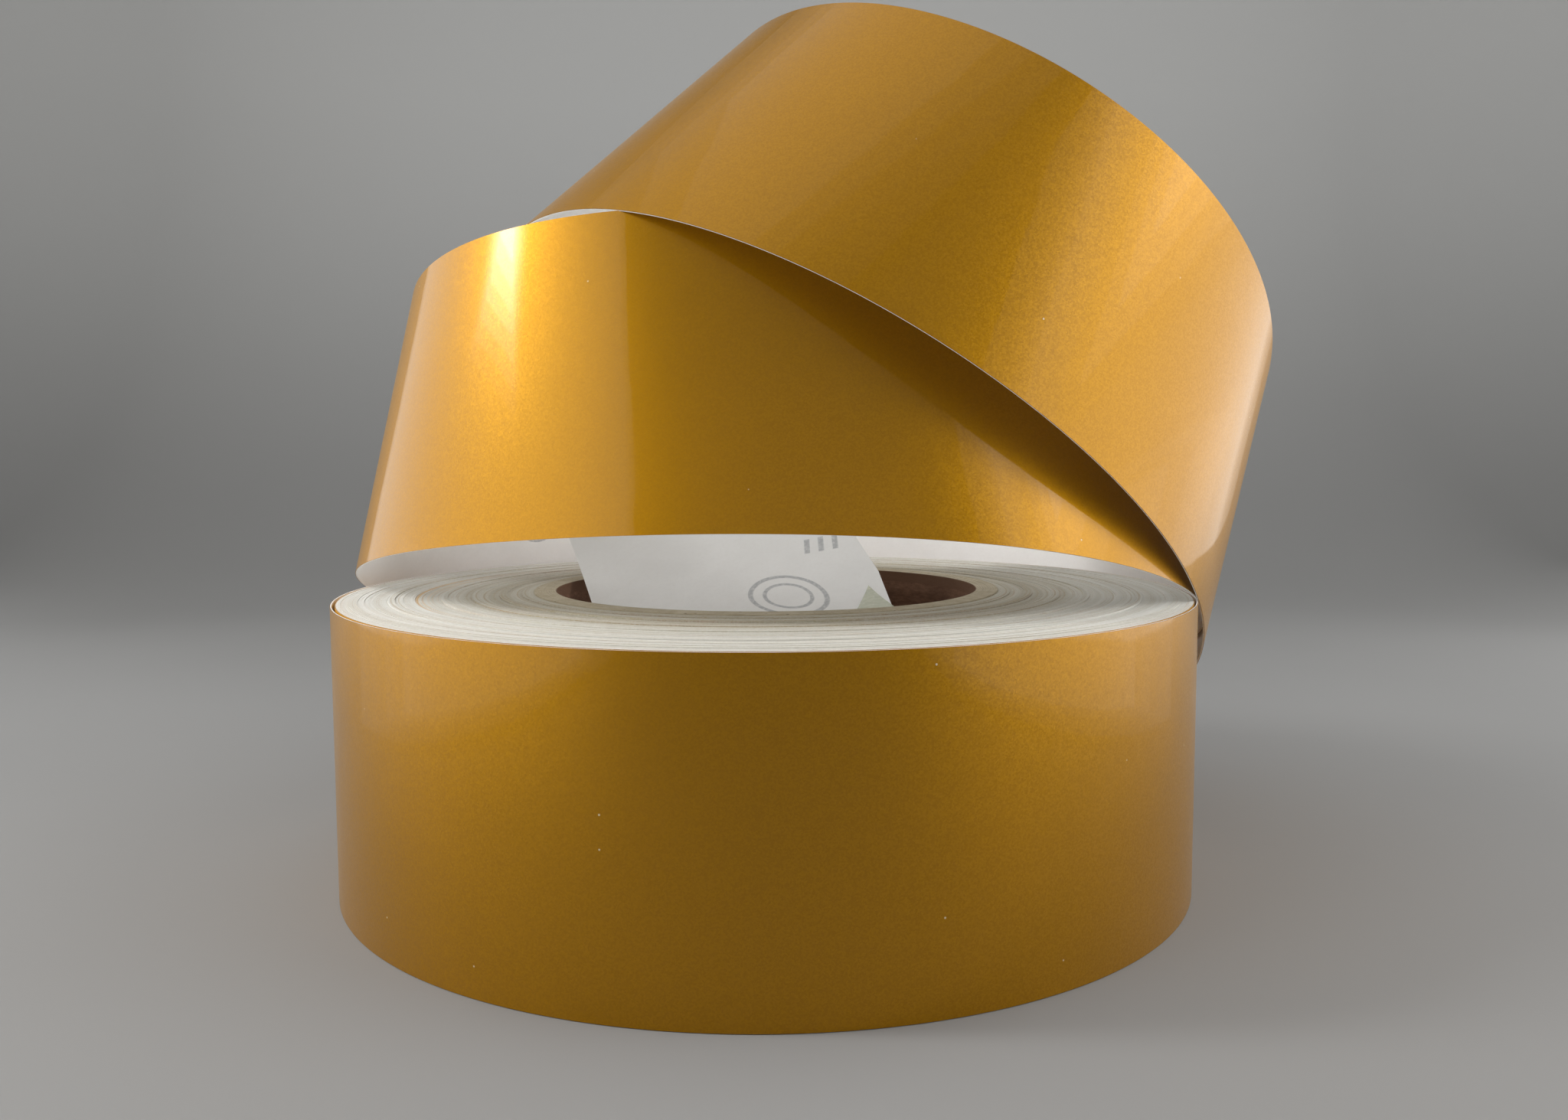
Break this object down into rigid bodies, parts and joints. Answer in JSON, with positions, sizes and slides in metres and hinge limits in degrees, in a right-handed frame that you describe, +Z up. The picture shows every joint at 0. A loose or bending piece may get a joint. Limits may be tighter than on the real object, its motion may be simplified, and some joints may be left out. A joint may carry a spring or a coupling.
{
  "type": "roll of sign vinyl",
  "caption": "Roll of glossy golden sign vinyl on a paper core, lying on its end, with its free end looped above it and tucked into the core.",
  "frame": {"origin": "on the roll's axis, level with the flat lower end that it stands on", "axes": "+Z up along the roll's axis; +X to the side where the two loose laps meet the roll, and -Y to the side where the laps stand up"},
  "size_m": [0.1775, 0.1864, 0.1507],
  "materials": {
    "core_lining": "matte",
    "core_board": "matte",
    "start_tape": "matte",
    "roll_end": "matte",
    "liner": "matte",
    "adhesive": "gloss",
    "film": "gloss",
    "tape": "satin"
  },
  "bodies": {
    "root": {"core_inner_ply": "core_lining", "core_wall": "core_board", "core_outer_ply": "core_board", "core_start_tape": "start_tape", "wound_turns": "roll_end", "last_turn_liner": "liner", "last_turn_adhesive": "adhesive", "last_turn_film": "film", "loose_liner": "liner", "loose_adhesive": "adhesive", "loose_film": "film", "tail_tape": "tape"}
  },
  "joints": []
}
